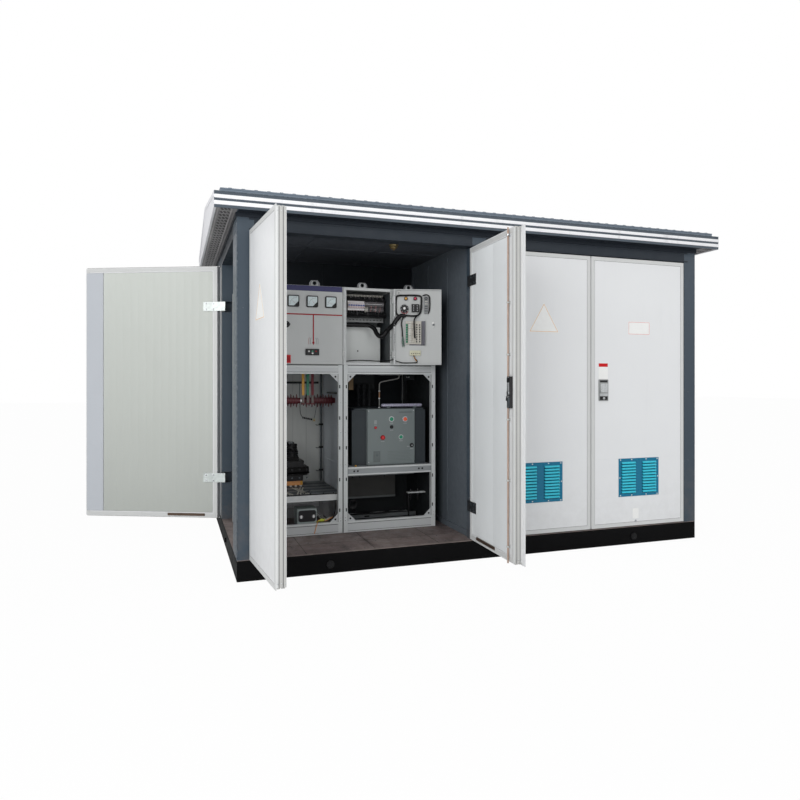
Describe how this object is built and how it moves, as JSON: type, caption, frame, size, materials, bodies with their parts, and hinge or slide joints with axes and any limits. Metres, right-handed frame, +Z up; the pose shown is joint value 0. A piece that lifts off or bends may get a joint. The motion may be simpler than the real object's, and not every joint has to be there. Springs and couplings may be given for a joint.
{
  "type": "compact substation",
  "caption": "Steel kiosk substation with banded eaves, hinged sandwich-panel doors, a switchgear room with cabinets and a transformer room.",
  "frame": {"origin": "centre of the base's underside, on the ground", "axes": "+X along the length to the transformer end, +Y from the front doors to the rear, +Z up"},
  "size_m": [4.5316, 3.0464, 2.5054],
  "materials": {
    "base_paint": "semi-matt black paint",
    "breaker_paint": "powder coat",
    "busbar_metal": "coloured sleeve",
    "cabinet_paint": "fine powder coat",
    "clamp_plastic": "moulded",
    "eaves_paint": "satin paint, banded white and slate",
    "floor_steel": "worn, dusty",
    "handle_metal": "polished",
    "instrument_plastic": "moulded",
    "lamp_metal": "satin",
    "lock_steel": "browned steel",
    "pale_paint": "satin paint",
    "roof_paint": "satin paint",
    "slate_paint": "satin paint",
    "switch_metal": "oily black",
    "vent_paint": "gloss paint",
    "zinc_steel": "zinc plated"
  },
  "bodies": {
    "kiosk": {"base_cross_beams": "base_paint", "base_long_beams": "base_paint", "breaker_unit": "breaker_paint", "busbar_clamp": "clamp_plastic", "busbars": "busbar_metal", "cabinet_gussets": "cabinet_paint", "cabinet_hinges": "zinc_steel", "cabinet_panels": "cabinet_paint", "cabinet_posts": "cabinet_paint", "cabinet_rails": "cabinet_paint", "cabinet_shelves": "cabinet_paint", "ceiling": "slate_paint", "ceiling_lamp": "lamp_metal", "corner_posts": "slate_paint", "divider_wall": "slate_paint", "eaves_ends": "eaves_paint", "eaves_long": "eaves_paint", "end_walls": "pale_paint", "floor_plates": "floor_steel", "hinge_pins": "zinc_steel", "lifting_lugs": "cabinet_paint", "meter_box": "cabinet_paint", "middle_posts": "slate_paint", "partition_wall": "slate_paint", "rear_handles": "handle_metal", "rear_hinges": "zinc_steel", "rear_switchgear_leaf_a": "pale_paint", "rear_switchgear_leaf_b": "pale_paint", "rear_transformer_leaf_a": "pale_paint", "rear_transformer_leaf_b": "pale_paint", "rear_vents": "vent_paint", "relay_box": "cabinet_paint", "relay_rails": "zinc_steel", "ridge_cap": "roof_paint", "roof_sheets": "roof_paint", "roof_slab": "eaves_paint", "switch_unit": "switch_metal", "terminal_box": "instrument_plastic", "top_beams": "slate_paint"},
    "front_left": {"front_left_leaf": "pale_paint", "front_left_hinges": "zinc_steel"},
    "front_right": {"front_right_leaf": "pale_paint", "front_right_hinges": "zinc_steel", "front_right_handle": "handle_metal", "front_right_lock_rods": "lock_steel"},
    "transformer_left": {"transformer_left_leaf": "pale_paint", "transformer_left_hinges": "zinc_steel", "transformer_left_vent": "vent_paint"},
    "transformer_right": {"transformer_right_leaf": "pale_paint", "transformer_right_hinges": "zinc_steel", "transformer_right_vent": "vent_paint", "transformer_right_handle": "handle_metal", "transformer_right_lock_rods": "lock_steel"},
    "end_door": {"end_leaf": "pale_paint", "end_hinges": "zinc_steel", "end_handle": "handle_metal"},
    "meter_panel_door": {"meter_door": "cabinet_paint", "panel_meters": "instrument_plastic"},
    "relay_panel_door": {"relay_door": "cabinet_paint", "relay_door_devices": "instrument_plastic"}
  },
  "joints": [
    {"name": "front_left_hinge", "type": "hinge", "parent": "kiosk", "child": "front_left", "pos_m": [-1.62, -1.09, 1.1185], "axis": [0, 0, -1], "range_deg": [-85, 10]},
    {"name": "front_right_hinge", "type": "hinge", "parent": "kiosk", "child": "front_right", "pos_m": [-0.145, -1.09, 1.1185], "axis": [0, 0, 1], "range_deg": [-88, 2]},
    {"name": "transformer_left_hinge", "type": "hinge", "parent": "kiosk", "child": "transformer_left", "pos_m": [-0.085, -1.09, 1.1185], "axis": [0, 0, -1], "range_deg": [0, 90]},
    {"name": "transformer_right_hinge", "type": "hinge", "parent": "kiosk", "child": "transformer_right", "pos_m": [1.62, -1.09, 1.1185], "axis": [0, 0, 1], "range_deg": [0, 95]},
    {"name": "end_door_hinge", "type": "hinge", "parent": "kiosk", "child": "end_door", "pos_m": [-1.69, 0.266, 1.1185], "axis": [0, 0, -1], "range_deg": [-116, 4]},
    {"name": "meter_door_hinge", "type": "hinge", "parent": "kiosk", "child": "meter_panel_door", "pos_m": [-0.934, -0.593, 1.592], "axis": [0, 0, 1], "range_deg": [0, 90]},
    {"name": "relay_door_hinge", "type": "hinge", "parent": "kiosk", "child": "relay_panel_door", "pos_m": [-0.57, -0.593, 1.592], "axis": [0, 0, 1], "range_deg": [-163, 7]}
  ]
}
